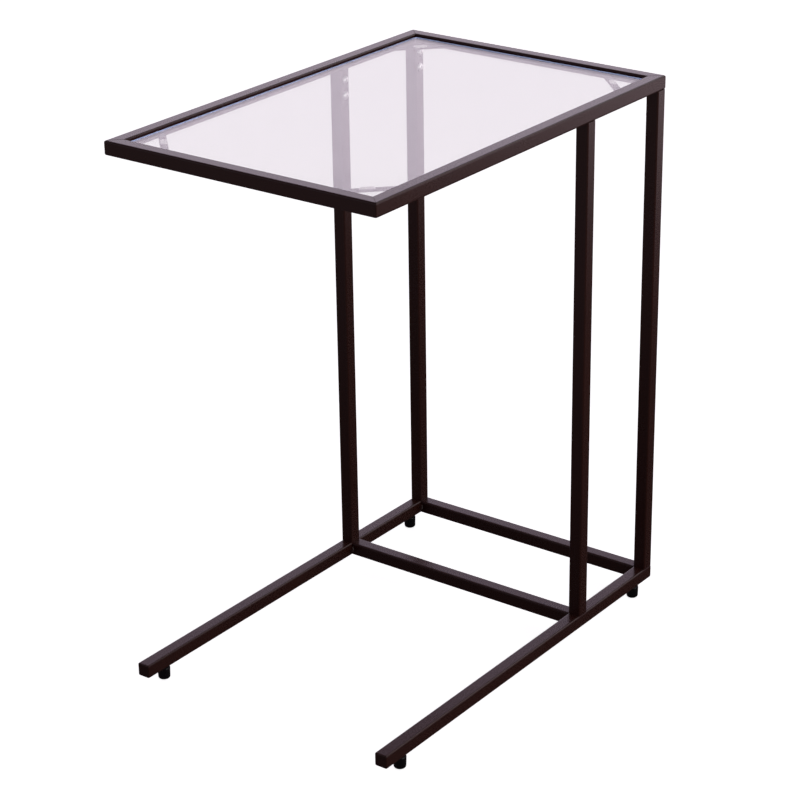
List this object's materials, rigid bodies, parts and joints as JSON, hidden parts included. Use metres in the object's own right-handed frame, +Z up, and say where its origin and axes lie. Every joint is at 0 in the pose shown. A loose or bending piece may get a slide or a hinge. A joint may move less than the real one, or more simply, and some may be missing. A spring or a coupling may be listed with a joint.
{
  "type": "side table",
  "caption": "C-shaped side table: black-brown square steel tube frame, inset clear glass top, uprights near one end, floor runners that slide under a sofa, screw feet",
  "frame": {"origin": "on the floor, at the centre of the table's plan, midway between the runners and between their ends", "axes": "+X across the table towards its right side as seen from the open end, +Y along the runners from the open end to the uprights, +Z up"},
  "size_m": [0.353, 0.54, 0.65],
  "materials": {
    "powder_coat": "satin",
    "clear_glass": "gloss",
    "clear_bumper": "gloss",
    "zinc_steel": "bright zinc",
    "foot_plastic": "matte"
  },
  "bodies": {
    "frame": {"top_rail_front": "powder_coat", "top_rail_rear": "powder_coat", "top_rail_right": "powder_coat", "top_rail_left": "powder_coat", "corner_gusset_front_left": "powder_coat", "glass_bumper_front_left": "clear_bumper", "upright_front_left": "powder_coat", "stub_front_left": "powder_coat", "stub_bolts_front_left": "zinc_steel", "stub_nuts_front_left": "zinc_steel", "foot_nut_front_left": "zinc_steel", "runner_end_front_left": "powder_coat", "corner_gusset_front_right": "powder_coat", "glass_bumper_front_right": "clear_bumper", "upright_front_right": "powder_coat", "stub_front_right": "powder_coat", "stub_bolts_front_right": "zinc_steel", "stub_nuts_front_right": "zinc_steel", "foot_nut_front_right": "zinc_steel", "runner_end_front_right": "powder_coat", "corner_gusset_rear_left": "powder_coat", "glass_bumper_rear_left": "clear_bumper", "upright_rear_left": "powder_coat", "stub_rear_left": "powder_coat", "stub_bolts_rear_left": "zinc_steel", "stub_nuts_rear_left": "zinc_steel", "foot_nut_rear_left": "zinc_steel", "runner_end_rear_left": "powder_coat", "corner_gusset_rear_right": "powder_coat", "glass_bumper_rear_right": "clear_bumper", "upright_rear_right": "powder_coat", "stub_rear_right": "powder_coat", "stub_bolts_rear_right": "zinc_steel", "stub_nuts_rear_right": "zinc_steel", "foot_nut_rear_right": "zinc_steel", "runner_end_rear_right": "powder_coat", "runner_left": "powder_coat", "runner_right": "powder_coat", "crossbar_front": "powder_coat", "crossbar_welds_front": "powder_coat", "crossbar_rear": "powder_coat", "crossbar_welds_rear": "powder_coat"},
    "glass": {"glass_top": "clear_glass"},
    "stud_front_left": {"foot_stud_front_left": "zinc_steel"},
    "foot_front_left": {"foot_pad_front_left": "foot_plastic"},
    "stud_front_right": {"foot_stud_front_right": "zinc_steel"},
    "foot_front_right": {"foot_pad_front_right": "foot_plastic"},
    "stud_rear_left": {"foot_stud_rear_left": "zinc_steel"},
    "foot_rear_left": {"foot_pad_rear_left": "foot_plastic"},
    "stud_rear_right": {"foot_stud_rear_right": "zinc_steel"},
    "foot_rear_right": {"foot_pad_rear_right": "foot_plastic"}
  },
  "joints": [
    {"name": "glass_lift", "type": "slide", "parent": "frame", "child": "glass", "axis": [0, 0, 1], "range_m": [0, 0.06]},
    {"name": "front_left_foot_lift", "type": "slide", "parent": "frame", "child": "stud_front_left", "axis": [0, 0, -1], "range_m": [0, 0.006]},
    {"name": "front_left_foot_turn", "type": "hinge", "parent": "stud_front_left", "child": "foot_front_left", "pos_m": [-0.1685, -0.236, 0], "axis": [0, 0, 1], "range_deg": [0, 2160]},
    {"name": "front_right_foot_lift", "type": "slide", "parent": "frame", "child": "stud_front_right", "axis": [0, 0, -1], "range_m": [0, 0.006]},
    {"name": "front_right_foot_turn", "type": "hinge", "parent": "stud_front_right", "child": "foot_front_right", "pos_m": [0.1685, -0.236, 0], "axis": [0, 0, 1], "range_deg": [0, 2160]},
    {"name": "rear_left_foot_lift", "type": "slide", "parent": "frame", "child": "stud_rear_left", "axis": [0, 0, -1], "range_m": [0, 0.006]},
    {"name": "rear_left_foot_turn", "type": "hinge", "parent": "stud_rear_left", "child": "foot_rear_left", "pos_m": [-0.1685, 0.24, 0], "axis": [0, 0, 1], "range_deg": [0, 2160]},
    {"name": "rear_right_foot_lift", "type": "slide", "parent": "frame", "child": "stud_rear_right", "axis": [0, 0, -1], "range_m": [0, 0.006]},
    {"name": "rear_right_foot_turn", "type": "hinge", "parent": "stud_rear_right", "child": "foot_rear_right", "pos_m": [0.1685, 0.24, 0], "axis": [0, 0, 1], "range_deg": [0, 2160]}
  ],
  "couplings": [
    {"joint": "front_left_foot_turn", "follows": "front_left_foot_lift", "rad_per_m": 6283.2},
    {"joint": "front_right_foot_turn", "follows": "front_right_foot_lift", "rad_per_m": 6283.2},
    {"joint": "rear_left_foot_turn", "follows": "rear_left_foot_lift", "rad_per_m": 6283.2},
    {"joint": "rear_right_foot_turn", "follows": "rear_right_foot_lift", "rad_per_m": 6283.2}
  ]
}
